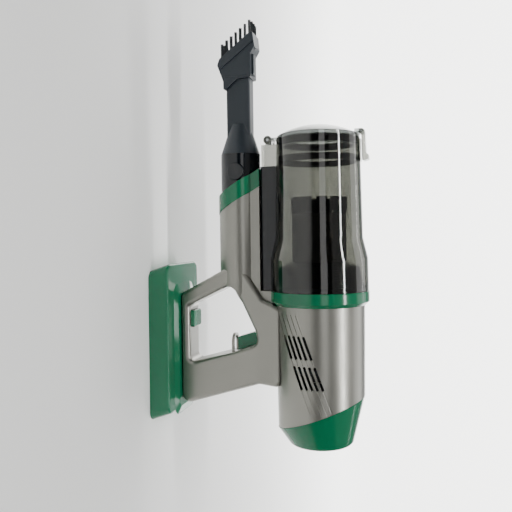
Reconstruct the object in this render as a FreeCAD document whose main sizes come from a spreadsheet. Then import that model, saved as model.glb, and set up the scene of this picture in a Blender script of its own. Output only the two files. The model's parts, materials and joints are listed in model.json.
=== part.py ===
"""Hand-held cordless stick vacuum standing on its battery pack, millimetres.

+Z is up.  The nozzle points along -X.  The origin is the middle of the battery's
resting face.  The nozzle, the dust cup and the motor are turned about two axes
that are parallel to X and lie in the plane Y = 0.
"""
import FreeCAD, Part
import math
import os
import re
from FreeCAD import Placement, Rotation, Vector

doc = FreeCAD.newDocument("StickVacuum")
sheet = doc.addObject("Spreadsheet::Sheet", "Sizes")

# ---------------------------------------------------------------- driving sizes
SIZES = [
    # general fits
    ("gap", 0.3),                  # running gap between pieces that part
    ("fit", 0.1),                  # gap between pieces that stay together
    ("pin_fit", 0.05),             # radial play of a pin in its hole
    ("shell_wall", 2.4),
    # battery pack
    ("battery_length", 170), ("battery_width", 96), ("battery_height", 23.5),
    ("battery_lean", 8), ("battery_corner", 10), ("battery_wall", 2.2),
    ("battery_top_round", 2.5), ("base_plate", 3),
    ("pedestal_length", 134), ("pedestal_width", 44), ("pedestal_rise", 2.5),
    ("pedestal_flare", 9), ("pedestal_middle", 7),
    ("rail_length", 96), ("rail_width", 20), ("rail_height", 3.2), ("rail_middle", 4),
    ("cell_radius", 9), ("cell_length", 65), ("cell_pitch", 19.2), ("cell_count", 7),
    ("holder_width", 4),
    # handle loop
    ("foot_thickness", 10.7), ("foot_front", -57), ("foot_rear", 73),
    ("handle_half_width", 18), ("handle_spread", 0.1), ("handle_round", 5),
    ("arm_thickness", 21), ("grip_top_front", 9), ("grip_top_rear", 43),
    # nozzle side
    ("neck_axis_z", 97), ("neck_radius", 23), ("neck_wall", 2.4),
    ("neck_front", -217), ("neck_rear", -174), ("duct_radius", 25.5),
    ("duct_dome", -62), ("seam_end", -90), ("saddle_top", 123.5), ("saddle_half", 20),
    ("ring_front", -183), ("ring_width", 20), ("ring_slope", 30.5), ("ring_proud", 0.6),
    ("neck_button_x", -196), ("neck_button_radius", 9.6), ("neck_button_proud", 1.2),
    ("elbow_bend", 22), ("elbow_radius", 14.5), ("elbow_wall", 1.8),
    # dust cup side
    ("cup_axis_z", 187.5), ("cup_front", -231), ("cup_rear", -61.3),
    ("cup_front_radius", 47), ("cup_mid_radius", 49), ("cup_rear_radius", 54.8),
    ("cup_flare_front", -120), ("cup_flare_rear", -97), ("cup_wall", 2.2),
    ("inlet_x", -150), ("inlet_radius", 12.5), ("spine_half", 15.5), ("spine_front", -201),
    ("lid_radius", 44.4), ("lid_flange", 46.4), ("lid_dome_rise", 11.5), ("lid_wall", 2.2),
    ("lid_band", 4), ("hinge_x", -231.5), ("hinge_z", 131.5), ("hinge_radius", 4.8),
    ("hinge_pin_radius", 1.5), ("hinge_half", 10),
    ("latch_half", 7.5), ("latch_pin_radius", 1.2), ("latch_pin_x", -236.5), ("latch_pin_z", 236.2),
    ("crown_front", -165), ("crown_radius", 31.7), ("crown_length", 18), ("crown_teeth", 12),
    ("screen_radius", 30.6), ("screen_wall", 1.2), ("screen_rear", -93),
    ("foam_radius", 26.5), ("foam_bore", 12),
    ("plate_radius", 50), ("plate_wall", 2.6), ("plate_rear", -61.3),
    ("trim_front", -61), ("trim_rear", -45.5), ("trim_radius", 55.3), ("trim_bore", 46),
    # motor side
    ("housing_radius", 50), ("housing_rear_radius", 48.6), ("housing_wall", 2.4),
    ("seam_x", 73.7), ("seam_slope", 20.6), ("cap_end", 110), ("cap_end_radius", 35),
    ("cap_round", 6), ("cap_wall", 3.6), ("cap_spigot", 8),
    ("slot_pitch", 5.7), ("slot_width", 3.0), ("slot_length", 26), ("slot_slope", 20),
    ("slot_row_pitch", 32), ("slot_columns", 5), ("groove_depth", 0.5), ("groove_length", 112),
    ("groove_width", 1.3),
    ("motor_radius", 30), ("motor_front", -30), ("motor_rear", 36), ("motor_wall", 1.2),
    ("shaft_radius", 2.5), ("impeller_radius", 32), ("impeller_front", -46),
    ("impeller_depth", 12), ("blade_count", 9),
    # trigger and controls
    ("trigger_half", 6.5), ("trigger_pin_radius", 1.5), ("trigger_pin_x", 6.5),
    ("trigger_pin_z", 112.5), ("guard_z", 86), ("guard_thickness", 3), ("guard_reach", -10.5),
    ("guard_half", 10.5), ("mode_button_x", -27), ("mode_button_length", 19.6),
    ("mode_button_half", 12.5), ("mode_button_proud", 4.2),
    # accessory
    ("blade_height", 28), ("blade_width", 18), ("blade_wall", 2), ("blade_tip", -345),
    ("blade_slope", 38), ("socket_radius", 22.6), ("cone_end", -252), ("cone_end_radius", 11),
    ("spigot_length", 32), ("head_half_width", 14.2), ("sleeve_half_width", 12.2),
    ("head_band", 13), ("head_step", 1.6),
    ("tuft_radius", 1.8), ("tuft_length", 14.5), ("tuft_root", 5), ("tufts_per_side", 7),
    ("tuft_end_pitch", 8.4),
    # fasteners
    ("screw_radius", 1.5), ("screw_head_radius", 2.9), ("screw_head_depth", 2),
    ("boss_radius", 3.6),
]
for row, (alias, value) in enumerate(SIZES, start=1):
    sheet.set("A%d" % row, alias)
    sheet.set("B%d" % row, str(value))
    sheet.setAlias("B%d" % row, alias)
doc.recompute()


class SheetReader:
    """Gives a size from the sheet by its alias."""

    def __getattr__(self, alias):
        return float(sheet.get(alias))


s = SheetReader()
NODES = {}
Y_AXIS = Vector(0, 1, 0)
X_AXIS = Vector(1, 0, 0)
Z_AXIS = Vector(0, 0, 1)
TURN_TO = {
    "x": Rotation(Y_AXIS, 90),
    "y": Rotation(X_AXIS, -90),
    "z": Rotation(),
}
TALL = 400.0      # longer than the whole object, for cutting tools


# ---------------------------------------------------------- document object helpers
def bind(obj, bindings):
    """Bind properties to sums of sheet aliases."""
    for prop, expression in bindings.items():
        obj.setExpression(prop, re.sub(r"[a-z][a-z_]*", lambda m: "Sizes." + m.group(), expression))


def place(obj, start, axis="z"):
    obj.Placement = Placement(Vector(), TURN_TO[axis])
    bind(obj, dict(zip(("Placement.Base.x", "Placement.Base.y", "Placement.Base.z"), start)))


def cylinder(name, start, radius, length, axis="x"):
    rod = doc.addObject("Part::Cylinder", name)
    place(rod, start, axis)
    bind(rod, {"Radius": radius, "Height": length})
    return rod


def joined(name, kind, pieces):
    result = doc.addObject(kind, name)
    result.Shapes = pieces
    return result


def cut(name, base, tools):
    result = doc.addObject("Part::Cut", name)
    result.Base = base
    result.Tool = tools[0] if len(tools) == 1 else joined(name + "_tools", "Part::MultiFuse", tools)
    return result


def node(label, obj):
    obj.Label = label
    NODES[label] = obj
    return obj


def feature(label, shape):
    """A node whose shape neither a primitive nor a sketch gives."""
    obj = doc.addObject("Part::Feature", label)
    obj.Shape = shape
    obj.Placement = Placement()
    return node(label, obj)


def ring(label, front, length, radius, bore, axis_z="cup_axis_z"):
    """A ring or tube about one of the two long axes."""
    body = cylinder(label + "_body", (front, "0", axis_z), radius, length)
    hole = cylinder(label + "_bore", (front + " - 1", "0", axis_z), bore, length + " + 2")
    return node(label, cut(label, body, [hole]))


# ------------------------------------------------------------------- shape helpers
def outline(corners):
    """Closed wire in the plane Y = 0 through rounded corners (x, z, radius)."""
    tangents = []
    for index, (x, z, radius) in enumerate(corners):
        corner = Vector(x, 0, z)
        before = Vector(corners[index - 1][0], 0, corners[index - 1][1]) - corner
        after_x, after_z, after_radius = corners[(index + 1) % len(corners)]
        after = Vector(after_x, 0, after_z) - corner
        before.normalize()
        after.normalize()
        half_angle = before.getAngle(after) / 2
        reach = radius / math.tan(half_angle)
        inward = (before + after).normalize()
        middle = corner + inward * (radius / math.sin(half_angle) - radius)
        tangents.append((corner + before * reach, middle, corner + after * reach))
    edges = []
    for index, (start, middle, end) in enumerate(tangents):
        if (end - start).Length > 1e-6:
            edges.append(Part.Arc(start, middle, end).toShape())
        edges.append(Part.makeLine(end, tangents[(index + 1) % len(tangents)][0]))
    return Part.Wire(edges)


def plate(wires, half_width, inset=0.0):
    """Outline in the plane Y = 0, thickened evenly to both sides."""
    face = Part.makeFace(wires, "Part::FaceMakerBullseye")
    if inset:
        face = face.makeOffset2D(-inset)
    face.translate(Vector(0, half_width, 0))
    return face.extrude(Vector(0, -2 * half_width, 0))


def polygon_plate(points, half_width):
    return plate([outline([(x, z, 0.0) for x, z in points])], half_width)


def side_half(z):
    """Half width of the handle loop at a height: its two sides spread upwards."""
    return s.handle_half_width + s.handle_spread * (z - foot_top)


def spread_loop(wires, inset):
    """The handle loop between its spreading sides, with rounded rims."""
    low, high = foot_bottom - 1, s.cup_axis_z
    section = [Vector(-TALL, side * (side_half(z) - inset), z)
               for side, z in ((-1, low), (1, low), (1, high), (-1, high))]
    wedge = Part.Face(Part.makePolygon(section + section[:1])).extrude(Vector(2 * TALL, 0, 0))
    solid = plate(wires, TALL / 8, inset).common(wedge)

    def on_side(edge):
        middle = edge.valueAt((edge.FirstParameter + edge.LastParameter) / 2)
        return all(abs(abs(point.y) - side_half(point.z) + inset) < 1e-4
                   for point in (middle, edge.Vertexes[0].Point, edge.Vertexes[-1].Point))

    return solid.makeFillet(s.handle_round - inset, [edge for edge in solid.Edges if on_side(edge)])


def rounded_plate(wires, half_width, radius, inset=0.0):
    """The plate with its rims rounded."""
    solid = plate(wires, half_width, inset)
    rims = [edge for edge in solid.Edges if edge.BoundBox.YLength < 1e-6]
    return solid.makeFillet(radius, rims)


def rod(x, z, radius, length, y=0.0, axis=X_AXIS):
    return Part.makeCylinder(radius, length, Vector(x, y, z), axis)


def turned(points, axis_z):
    """Solid of revolution about a long axis through (x, radius) points."""
    corners = [Vector(x, 0, axis_z + radius) for x, radius in points]
    face = Part.Face(Part.makePolygon(corners + corners[:1]))
    return face.revolve(Vector(0, 0, axis_z), X_AXIS, 360)


def slanted(x_front, x_rear, slope, axis_z):
    """Region between two planes that lean towards the nozzle with height."""
    lean = math.tan(math.radians(slope))
    low, high = -TALL, TALL
    return polygon_plate([
        (x_front - (low - axis_z) * lean, low),
        (x_rear - (low - axis_z) * lean, low),
        (x_rear - (high - axis_z) * lean, high),
        (x_front - (high - axis_z) * lean, high),
    ], TALL)


def block(x0, x1, y0, y1, z0, z1):
    return Part.makeBox(x1 - x0, y1 - y0, z1 - z0, Vector(x0, y0, z0))


def rounded_bar(x0, x1, half_y, half_z, z, radius):
    """Bar along X with its four long edges rounded."""
    bar = block(x0, x1, -half_y, half_y, z - half_z, z + half_z)
    long_edges = [edge for edge in bar.Edges if edge.BoundBox.XLength > 1e-6]
    return bar.makeFillet(radius, long_edges)


def rounded_rectangle(x, length, half_y, z, radius):
    """Flat wire, rounded at its corners, in a horizontal plane."""
    half = length / 2
    flat = outline([
        (x - half, -half_y, radius), (x + half, -half_y, radius),
        (x + half, half_y, radius), (x - half, half_y, radius),
    ])
    flat.rotate(Vector(), X_AXIS, -90)
    flat.translate(Vector(0, 0, z))
    return flat


def coil(x, y, z, radius, wire, length, turns, axis):
    """Helical spring that starts at a point and runs along an axis."""
    pitch = (length - 2 * wire) / turns
    helix = Part.makeHelix(pitch, pitch * turns, radius)
    section = Part.Wire(Part.makeCircle(wire, Vector(radius, 0, 0), Y_AXIS))
    spring = Part.Wire(helix).makePipeShell([section], True, True)
    spring.translate(Vector(0, 0, wire))
    spring.Placement = Placement(Vector(x, y, z), Rotation(Z_AXIS, axis)).multiply(spring.Placement)
    return Part.makeCompound([spring])


def fused(shapes):
    return shapes[0].multiFuse(shapes[1:]).removeSplitter() if len(shapes) > 1 else shapes[0]


# ------------------------------------------------------------------ common geometry
pedestal_top = s.battery_height + s.pedestal_rise
foot_bottom = pedestal_top + s.gap
foot_top = foot_bottom + s.foot_thickness
ring_rear = s.ring_front + s.ring_width
housing_front = s.trim_rear + s.fit

HANDLE_OUTLINE = [
    (-92, 101, 4), (-85.5, 81, 6), (s.foot_front, foot_bottom, 9), (s.foot_rear, foot_bottom, 9),
    (s.grip_top_rear, 122, 10), (s.grip_top_rear + 3, 150, 9), (-42, 150, 9), (-52, 127.5, 8),
]
arm_slope = math.radians(27)
arm_width = s.arm_thickness / math.cos(arm_slope)
HAND_OPENING = [
    (s.foot_front + arm_width - 9.5, foot_top, 5), (s.foot_rear - 50, foot_top, 6),
    (s.grip_top_front, 90, 30), (-1.5, 121, 8), (-16, 118, 16), (-69, 92, 10),
]


def housing_zone(extra):
    """The motor housing and the trim ring, grown by a gap."""
    barrel = rod(s.trim_rear - 0.5, s.cup_axis_z, s.housing_radius + extra, TALL / 2)
    trim = rod(s.trim_front - extra, s.cup_axis_z, s.trim_radius + extra,
               s.trim_rear - s.trim_front + 2 * extra)
    return barrel.fuse(trim)


def body_solid(inset):
    """Duct, saddle and handle loop as one solid, inset by a wall."""
    radius = s.duct_radius - inset
    duct = rod(s.neck_front, s.neck_axis_z, radius, s.duct_dome - s.neck_front)
    dome = Part.makeSphere(radius, Vector(s.duct_dome, 0, s.neck_axis_z))
    tube = duct.fuse(dome).cut(plate([outline(HAND_OPENING)], TALL / 8, -inset))
    saddle = block(s.neck_front, s.trim_rear, inset - s.saddle_half,
                   s.saddle_half - inset, s.neck_axis_z + s.duct_radius / 2, s.saddle_top - inset)
    root = block(s.trim_front + inset, s.trim_rear, inset - s.saddle_half,
                 s.saddle_half - inset, s.saddle_top - s.duct_radius / 2,
                 s.cup_axis_z - s.housing_radius + s.duct_radius / 2)
    loop = spread_loop([outline(HANDLE_OUTLINE), outline(HAND_OPENING)], inset)
    return fused([tube, saddle, root, loop]).cut(housing_zone(s.fit + inset))


BODY_OUTER = body_solid(0.0)
BODY_INNER = body_solid(s.shell_wall)


# ------------------------------------------------------------------- battery pack
def battery_form(inset, z_low, z_high):
    """Leaning rounded block; its ends lean towards the nozzle with height."""
    def level(z):
        middle = -s.battery_lean * z / s.battery_height
        return rounded_rectangle(middle, s.battery_length - 2 * inset,
                                 s.battery_width / 2 - inset, z, s.battery_corner - inset / 2)
    return Part.makeLoft([level(z_low), level(z_high)], True, True)


def battery_case():
    case = battery_form(0.0, 0.0, s.battery_height)
    top = [edge for edge in case.Edges
           if abs(edge.BoundBox.ZMin - s.battery_height) < 1e-6 and edge.BoundBox.ZLength < 1e-6]
    case = case.makeFillet(s.battery_top_round, top)
    pedestal = Part.makeLoft([
        rounded_rectangle(s.pedestal_middle, s.pedestal_length + 2 * s.pedestal_flare,
                          s.pedestal_width / 2 + s.pedestal_flare, s.battery_height - 0.01, 12),
        rounded_rectangle(s.pedestal_middle, s.pedestal_length, s.pedestal_width / 2,
                          pedestal_top, 8),
    ], True, True)
    rail = rounded_bar(s.rail_middle - s.rail_length / 2, s.rail_middle + s.rail_length / 2,
                       s.rail_width / 2, s.rail_height / 2, pedestal_top + s.rail_height / 2, 0.8)
    return case.fuse(pedestal).fuse(rail)


def battery_cover():
    hollow = battery_form(s.battery_wall, -1.0, s.battery_height - s.battery_wall)
    socket = block(s.battery_length / 2 - 14, s.battery_length / 2 + 4, -5.2, 5.2, 6.8, 15.2)
    return battery_case().cut(hollow).cut(terminal_zone()).cut(socket)


def terminal_zone():
    """Pocket in the rail where the contact blades stand."""
    return block(s.rail_middle + 20, s.rail_middle + 34, -8, 8,
                 s.battery_height - 2.1, pedestal_top + s.rail_height + 1)


def screw_group(label, places, axis, length):
    """Identical countersunk-free pan screws; each place is the head's outer face."""
    screws = []
    for place_at in places:
        head = Part.makeCylinder(s.screw_head_radius, s.screw_head_depth, place_at, axis)
        shank = Part.makeCylinder(s.screw_radius, length, place_at + axis * s.screw_head_depth, axis)
        drive = Part.makeCylinder(1.2, 1.0, place_at - axis * 0.1, axis)
        screws.append(head.fuse(shank).cut(drive).removeSplitter())
    return feature(label, Part.makeCompound(screws))


def screw_tool(place_at, axis, length, extra):
    head = Part.makeCylinder(s.screw_head_radius + extra, s.screw_head_depth + TALL,
                             place_at - axis * TALL, axis)
    shank = Part.makeCylinder(s.screw_radius + extra, length + 0.5, place_at, axis)
    return head.fuse(shank)


BASE_SCREWS = [Vector(x, y, 0.6) for x in (-70, 0, 70) for y in (-40, 40)]


def battery_pieces():
    feature("battery_cover", battery_cover())
    base = battery_form(s.battery_wall + s.fit, 0.0, s.base_plate)
    posts = [Part.makeCylinder(s.boss_radius, s.battery_height - s.battery_wall - s.base_plate - s.fit,
                               Vector(spot.x, spot.y, s.base_plate)) for spot in BASE_SCREWS]
    base = fused([base] + posts)
    for spot in BASE_SCREWS:
        tool = Part.makeCylinder(s.screw_radius + s.fit, 14.5, Vector(spot.x, spot.y, -1))
        head = Part.makeCylinder(s.screw_head_radius + s.fit, 3.6 + s.fit, Vector(spot.x, spot.y, -1))
        base = base.cut(tool).cut(head)
    feature("battery_base", base)
    screw_group("battery_screws", BASE_SCREWS, Z_AXIS, 10)
    cells = []
    half = (s.cell_count - 1) / 2
    middle_z = s.base_plate + s.fit + s.cell_radius
    for index in range(int(s.cell_count)):
        x = (index - half) * s.cell_pitch - 2
        cells.append(rod(x, middle_z, s.cell_radius, s.cell_length, -s.cell_length / 2, Y_AXIS))
    feature("battery_cells", Part.makeCompound(cells))
    holders = []
    for side in (-1, 1):
        inner = side * (s.cell_length / 2 - s.holder_width)
        outer = side * (s.cell_length / 2 - s.holder_width * 2)
        bar = block(-half * s.cell_pitch - 10.5, half * s.cell_pitch + 6.5, min(inner, outer),
                    max(inner, outer), s.base_plate + s.fit, middle_z)
        for cell in cells:
            axis_x = cell.BoundBox.Center.x
            bar = bar.cut(rod(axis_x, middle_z, s.cell_radius + s.fit, TALL, -TALL / 2, Y_AXIS))
        holders.append(bar)
    feature("cell_holders", Part.makeCompound([part for bar in holders for part in bar.Solids]))
    feature("battery_board", block(-64, 62, 33.4, 35, 4, 20))
    blades = [block(s.rail_middle + 22, s.rail_middle + 32, y - 0.4, y + 0.4,
                    s.battery_height - 2, pedestal_top + 2.6) for y in (-4.5, 0, 4.5)]
    foot = block(s.rail_middle + 20.2, s.rail_middle + 33.8, -7.8, 7.8,
                 s.battery_height - 2, s.battery_height - 0.6)
    feature("battery_terminals", fused([foot] + blades))
    jack = rod(s.battery_length / 2 - 14, 11, 3.8, 11.5)
    jack = jack.cut(rod(s.battery_length / 2 - 8, 11, 2.7, 10))
    jack = jack.fuse(rod(s.battery_length / 2 - 9, 11, 0.8, 5))
    feature("charge_socket", jack)


# ------------------------------------------------------------- silver body shells
SHELL_SCREWS = [Vector(x, side_half(z) - 0.8, z) for x, z in (
    (-112, 84), (-72, 62), (-52, 108), (14, 127), (37, 101), (52, 50))]


shell_screw_length = 2 * s.handle_half_width - 10


def trigger_window():
    return block(-30, trigger_back() + 1.2, -s.trigger_half - s.gap, s.trigger_half + s.gap, 90.6, 118)


def trigger_back():
    return s.trigger_pin_x + 5.5


def shell_with_holes():
    shell = BODY_OUTER.cut(BODY_INNER)
    bosses = [rod(spot.x, spot.z, s.boss_radius, 2 * spot.y - 1.4, 0.7 - spot.y, Y_AXIS)
              for spot in SHELL_SCREWS]
    hinge_reach = side_half(s.trigger_pin_z) - 1.5
    hinge_boss = rod(s.trigger_pin_x, s.trigger_pin_z, 3.4, 2 * hinge_reach, -hinge_reach, Y_AXIS)
    hinge_boss = hinge_boss.cut(block(-40, 40, -s.trigger_half - s.gap, s.trigger_half + s.gap, 90, 130))
    bosses = [boss.common(BODY_OUTER) for boss in bosses + [hinge_boss]]
    shell = fused([shell] + bosses)
    nozzle_side = slanted(-TALL, ring_rear + s.fit, s.ring_slope, s.neck_axis_z)
    shell = shell.cut(nozzle_side)
    for spot in SHELL_SCREWS:
        shell = shell.cut(screw_tool(spot, Vector(0, -1, 0), shell_screw_length + 2, s.fit))
    shell = shell.cut(rod(s.trigger_pin_x, s.trigger_pin_z, s.trigger_pin_radius + s.pin_fit,
                          2 * s.handle_half_width - 5, 2.5 - s.handle_half_width, Y_AXIS))
    seam_z = s.neck_axis_z + math.sqrt(s.duct_radius ** 2 - s.saddle_half ** 2)
    for y in (-s.saddle_half, s.saddle_half):
        shell = shell.cut(block(-TALL, s.seam_end, y - 0.5, y + 0.5, seam_z - 0.2, seam_z + 0.5))
    shell = shell.cut(trigger_window())
    shell = shell.cut(rod(s.inlet_x, s.neck_axis_z, s.elbow_radius + s.fit, TALL / 8, axis=Z_AXIS))
    shell = shell.cut(mode_button_zone(s.gap))
    rail = block(s.rail_middle - s.rail_length / 2 - 1, TALL / 2, -s.rail_width / 2 - s.gap,
                 s.rail_width / 2 + s.gap, foot_bottom - 1, pedestal_top + s.rail_height + s.gap)
    return shell.cut(rail)


def mode_button_zone(extra):
    """Rounded opening in the foot for the battery button."""
    return rounded_button(s.mode_button_length + 2 * extra, s.mode_button_half + extra,
                          foot_top - s.shell_wall - 0.5, foot_top + 5)


def rounded_button(length, half_y, z_low, z_high):
    wire = rounded_rectangle(s.mode_button_x, length, half_y, z_low, 3.5)
    return Part.Face(wire).extrude(Vector(0, 0, z_high - z_low))


def body_pieces():
    shell = shell_with_holes()
    for label, low, high in (("body_shell_left", -TALL / 4, 0), ("body_shell_right", 0, TALL / 4)):
        half = shell.common(block(-TALL, TALL, low, high, -TALL, TALL))
        largest = max(half.Solids, key=lambda solid: solid.Volume)
        feature(label, largest)
    screw_group("shell_screws", SHELL_SCREWS, Vector(0, -1, 0), shell_screw_length)
    contact = block(s.rail_middle + 18, s.rail_middle + 36, -8, 8,
                    pedestal_top + s.rail_height + s.gap + 0.2, foot_top - s.shell_wall - s.fit)
    feature("body_contacts", contact)
    feature("control_board", block(24, 38, -12, 12, 57, 58.6))


def guard_piece():
    """Arch over the lower end of the trigger."""
    bend = s.guard_half
    middle_x = s.guard_reach + bend
    z_low = s.guard_z
    outer = Part.makeCylinder(bend, s.guard_thickness, Vector(middle_x, 0, z_low))
    outer = outer.fuse(block(middle_x, middle_x + 24, -bend, bend, z_low, z_low + s.guard_thickness))
    inner_half = bend - s.guard_thickness
    inner = Part.makeCylinder(inner_half, s.guard_thickness, Vector(middle_x, 0, z_low))
    inner = inner.fuse(block(middle_x, middle_x + 30, -inner_half, inner_half, z_low,
                             z_low + s.guard_thickness))
    arch = outer.cut(inner).cut(BODY_OUTER)
    return max(arch.cut(BODY_INNER).Solids, key=lambda solid: -solid.BoundBox.XMin)


def control_pieces():
    feature("trigger_guard", guard_piece())
    trigger = rounded_plate([outline([
        (-6.5, 92.2, 2.5), (-13, 112.8, 3), (-8, 116.6, 2.5), (trigger_back(), 116.6, 2.5),
        (trigger_back(), 92.2, 2.5),
    ])], s.trigger_half, 1.2)
    trigger = trigger.cut(rod(s.trigger_pin_x, s.trigger_pin_z, s.trigger_pin_radius + s.pin_fit,
                              TALL, -TALL / 2, Y_AXIS))
    feature("trigger", trigger)
    pin_half = s.handle_half_width - 2.6
    node("trigger_pin", cylinder("trigger_pin", ("trigger_pin_x", "2.6 - handle_half_width", "trigger_pin_z"),
                                 "trigger_pin_radius", "2 * handle_half_width - 5.2", "y"))
    switch_front = trigger_back() + 5.2
    body = block(switch_front, switch_front + 10, -3.2, 3.2, 84, 104)
    lever = block(switch_front - 0.8, switch_front - 0.3, -2, 2, 86, 103).fuse(
        block(switch_front - 0.8, switch_front, -2, 2, 85, 86.5))
    feature("power_switch", body.fuse(lever))
    feature("trigger_spring", coil(trigger_back() + 0.1, 0, 108.2, 1.9, 0.35, 4.6, 4, X_AXIS))
    seat = block(trigger_back() + 4.8, trigger_back() + 7, -4, 4, 105, 111.5)
    feature("spring_seat", seat)
    top = foot_top + s.mode_button_proud
    cap = rounded_button(s.mode_button_length, s.mode_button_half, foot_top - 2.2, top)
    rim = [edge for edge in cap.Edges if edge.BoundBox.ZMin > top - 1e-6]
    cap = cap.makeFillet(1.2, rim)
    feature("battery_button", cap)
    feature("button_spring", coil(s.mode_button_x, 0, foot_top - 5.2, 2.6, 0.28, 2.9, 3, Z_AXIS))
    seat_low = pedestal_top + s.rail_height + s.gap + 0.1
    feature("button_seat", block(s.mode_button_x - 6, s.mode_button_x + 6, -6, 6,
                                 seat_low, foot_top - 5.3))


# ------------------------------------------------------------------- nozzle side
def nozzle_pieces():
    profile = rod(-TALL, s.neck_axis_z, s.duct_radius + s.ring_proud, TALL)
    profile = profile.fuse(block(-TALL, 0, -s.saddle_half, s.saddle_half, s.neck_axis_z, s.saddle_top))
    band = profile.common(slanted(s.ring_front, ring_rear, s.ring_slope, s.neck_axis_z))
    band = band.cut(rod(-TALL, s.neck_axis_z, s.neck_radius + s.fit, TALL))
    band = band.cut(rod(s.inlet_x, s.neck_axis_z, s.elbow_radius + s.fit, TALL / 8, axis=Z_AXIS))
    feature("neck_trim_ring", max(band.Solids, key=lambda solid: solid.Volume))
    tube = cylinder("neck_body", ("neck_front", "0", "neck_axis_z"), "neck_radius", "neck_rear - neck_front")
    bore = cylinder("neck_bore", ("neck_front - 1", "0", "neck_axis_z"), "neck_radius - neck_wall",
                    "neck_rear - neck_front + 2")
    window = cylinder("neck_window", ("neck_button_x", "0 - neck_radius - 5", "neck_axis_z"),
                      "neck_button_radius + gap", "neck_radius", "y")
    node("neck_tube", cut("neck_tube", tube, [bore, window]))
    button = rod(s.neck_button_x, s.neck_axis_z, s.neck_button_radius, 3.4,
                 -s.neck_radius - s.neck_button_proud, Y_AXIS)
    face = [edge for edge in button.Edges if edge.BoundBox.YMax < -s.neck_radius - 0.5]
    feature("neck_release_button", button.makeFillet(1.0, face))
    feature("inlet_elbow", elbow_piece())


def elbow_piece():
    """Air elbow from the neck up to the cup: flange, quarter bend and riser."""
    start = Vector(s.neck_rear + 2, 0, s.neck_axis_z)
    centre = start + Vector(0, 0, s.elbow_bend)
    inner = s.elbow_radius - s.elbow_wall
    bend = (Part.makeTorus(s.elbow_bend, s.elbow_radius, centre, Vector(0, -1, 0), 0, 360, 90)
            .cut(Part.makeTorus(s.elbow_bend, inner, centre, Vector(0, -1, 0), 0, 360, 90)))
    riser_x = start.x + s.elbow_bend
    riser = rod(riser_x, centre.z, s.elbow_radius, s.saddle_top - centre.z, axis=Z_AXIS)
    riser = riser.cut(rod(riser_x, centre.z - 1, inner, TALL / 4, axis=Z_AXIS))
    flange = rod(start.x - 1.8, s.neck_axis_z, s.neck_radius - s.neck_wall - s.fit, 1.8)
    flange = flange.cut(rod(start.x - 3, s.neck_axis_z, inner, 6))
    return bend.fuse(riser).fuse(flange)


# ---------------------------------------------------------------------- dust cup
def cup_form(inset, front, rear):
    return turned([
        (front, 0), (front, s.cup_front_radius - inset),
        (s.cup_flare_front, s.cup_mid_radius - inset),
        (s.cup_flare_rear, s.cup_rear_radius - 0.4 - inset),
        (rear, s.cup_rear_radius - inset), (rear, 0),
    ], s.cup_axis_z)


def cup_pieces():
    wall = cup_form(0.0, s.cup_front, s.cup_rear).cut(cup_form(s.cup_wall, s.cup_front - 1, s.cup_rear + 1))
    bracket = block(-226, s.spine_front, -s.hinge_half, s.hinge_half, s.saddle_top + 0.6, 148)
    knuckles = [rod(s.hinge_x, s.hinge_z, s.hinge_radius, s.hinge_half - 5, y, Y_AXIS)
                for y in (5, -s.hinge_half)]
    ears = [block(s.hinge_x, -225, y, y + s.hinge_half - 5, s.hinge_z - 2.5, s.hinge_z + s.hinge_radius)
            for y in (5, -s.hinge_half)]
    bracket = fused([bracket] + knuckles + ears).cut(cup_form(s.cup_wall / 2, s.cup_front, s.cup_rear))
    catch = block(-228, -204, -s.latch_half, s.latch_half, s.cup_axis_z + 44, s.cup_axis_z + 48.6)
    catch = catch.cut(cup_form(s.cup_wall / 2, s.cup_front, s.cup_rear))
    cup = fused([wall, bracket, catch])
    cup = cup.cut(rod(s.hinge_x, s.hinge_z, s.hinge_pin_radius + s.pin_fit, TALL, -TALL / 2, Y_AXIS))
    inlet = rod(s.inlet_x, s.neck_axis_z, s.inlet_radius, s.cup_axis_z - s.neck_axis_z, axis=Z_AXIS)
    feature("dust_cup", cup.cut(inlet))
    spine = block(s.spine_front + s.fit, s.cup_rear, -s.spine_half, s.spine_half,
                  s.saddle_top + s.gap, s.cup_axis_z - 30)
    edges = [edge for edge in spine.Edges
             if edge.BoundBox.XLength > 1 and edge.BoundBox.ZMax < s.cup_axis_z - 40]
    spine = spine.makeFillet(2.5, edges).cut(cup_form(0.0, s.cup_front, s.cup_rear))
    spine = spine.cut(rod(s.inlet_x, s.neck_axis_z, s.inlet_radius, TALL / 4, axis=Z_AXIS))
    feature("cup_spine", max(spine.Solids, key=lambda solid: solid.Volume))
    ring("dust_guard_ring", "cup_front + 20.5", "7", "cup_front_radius - cup_wall - fit",
         "cup_front_radius - cup_wall - 3.4")


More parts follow.
